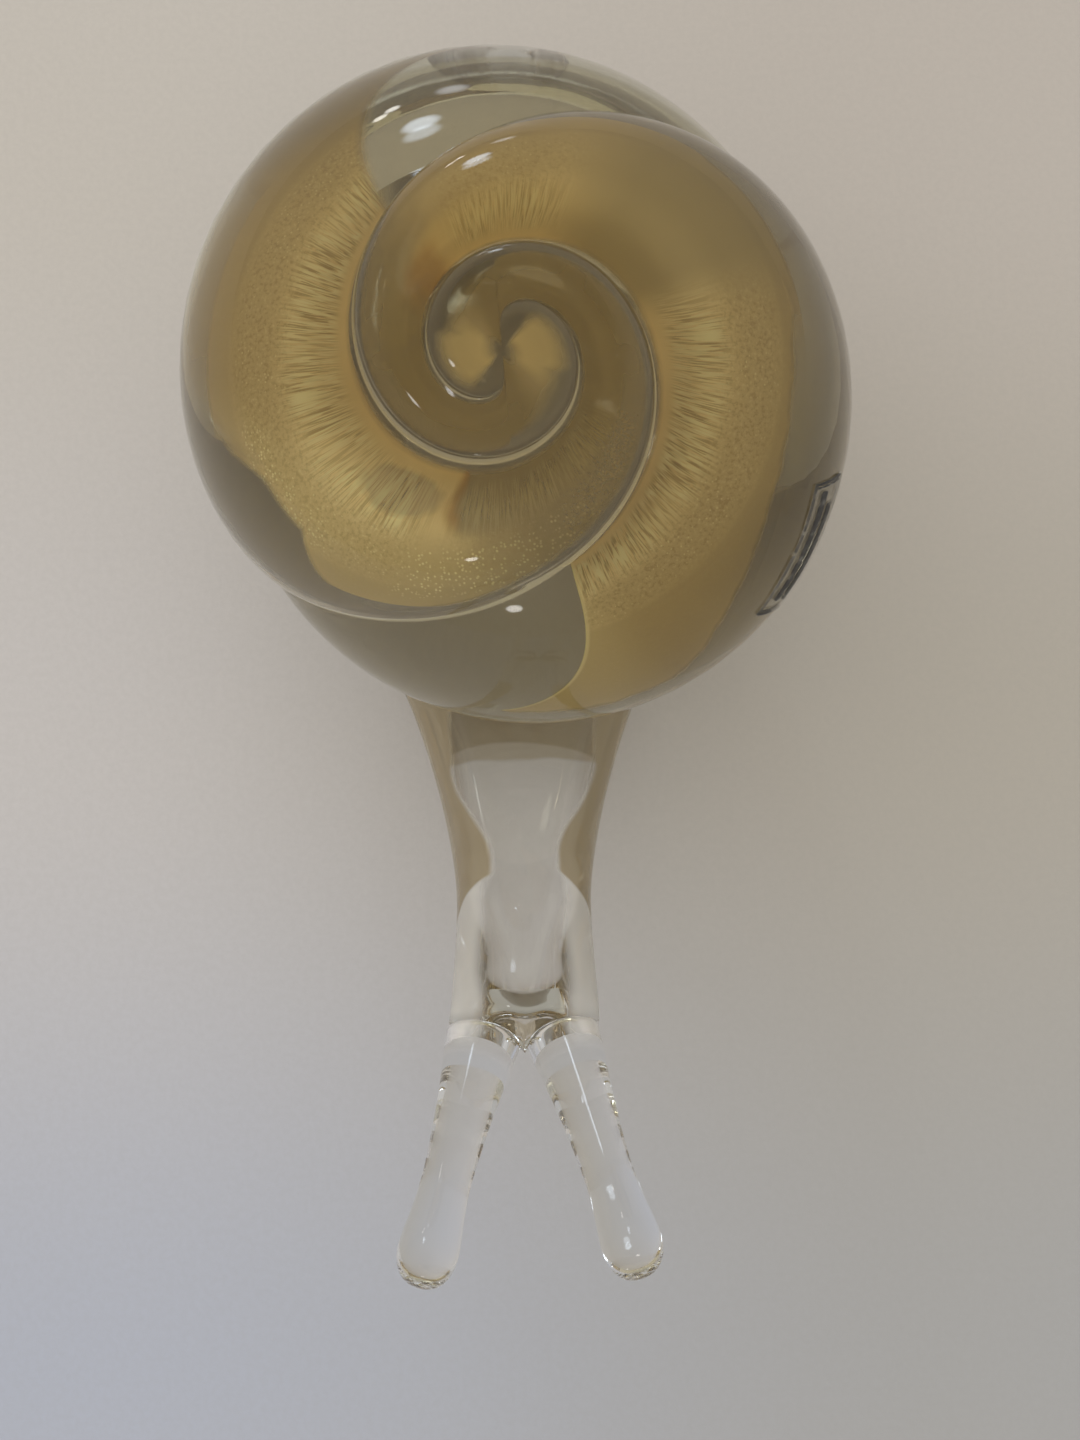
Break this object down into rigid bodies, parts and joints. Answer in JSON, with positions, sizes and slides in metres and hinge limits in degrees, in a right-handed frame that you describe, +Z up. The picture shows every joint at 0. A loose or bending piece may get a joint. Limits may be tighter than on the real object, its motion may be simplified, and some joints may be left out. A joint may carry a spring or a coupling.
{
  "type": "snail figurine",
  "caption": "Clear glass snail ornament with a ball shell twisted from two lobes, gold leaf inside the shell, a raised neck and a pair of tentacles.",
  "frame": {"origin": "centre of the bounding box, on the ground face of the foot", "axes": "+Z up, -Y the way the head points, +X to the right of someone facing the head"},
  "size_m": [0.1024, 0.1737, 0.1014],
  "materials": {
    "clear_glass": "fire-polished clear glass",
    "gold_leaf": "crackled gold leaf seen through glass",
    "label_film": "blank film label"
  },
  "bodies": {
    "root": {"shell_lobe_a": "clear_glass", "shell_lobe_b": "clear_glass", "gold_leaf_a": "gold_leaf", "gold_leaf_b": "gold_leaf", "body": "clear_glass", "head": "clear_glass", "tentacle_left": "clear_glass", "tentacle_right": "clear_glass", "label": "label_film"}
  },
  "joints": []
}
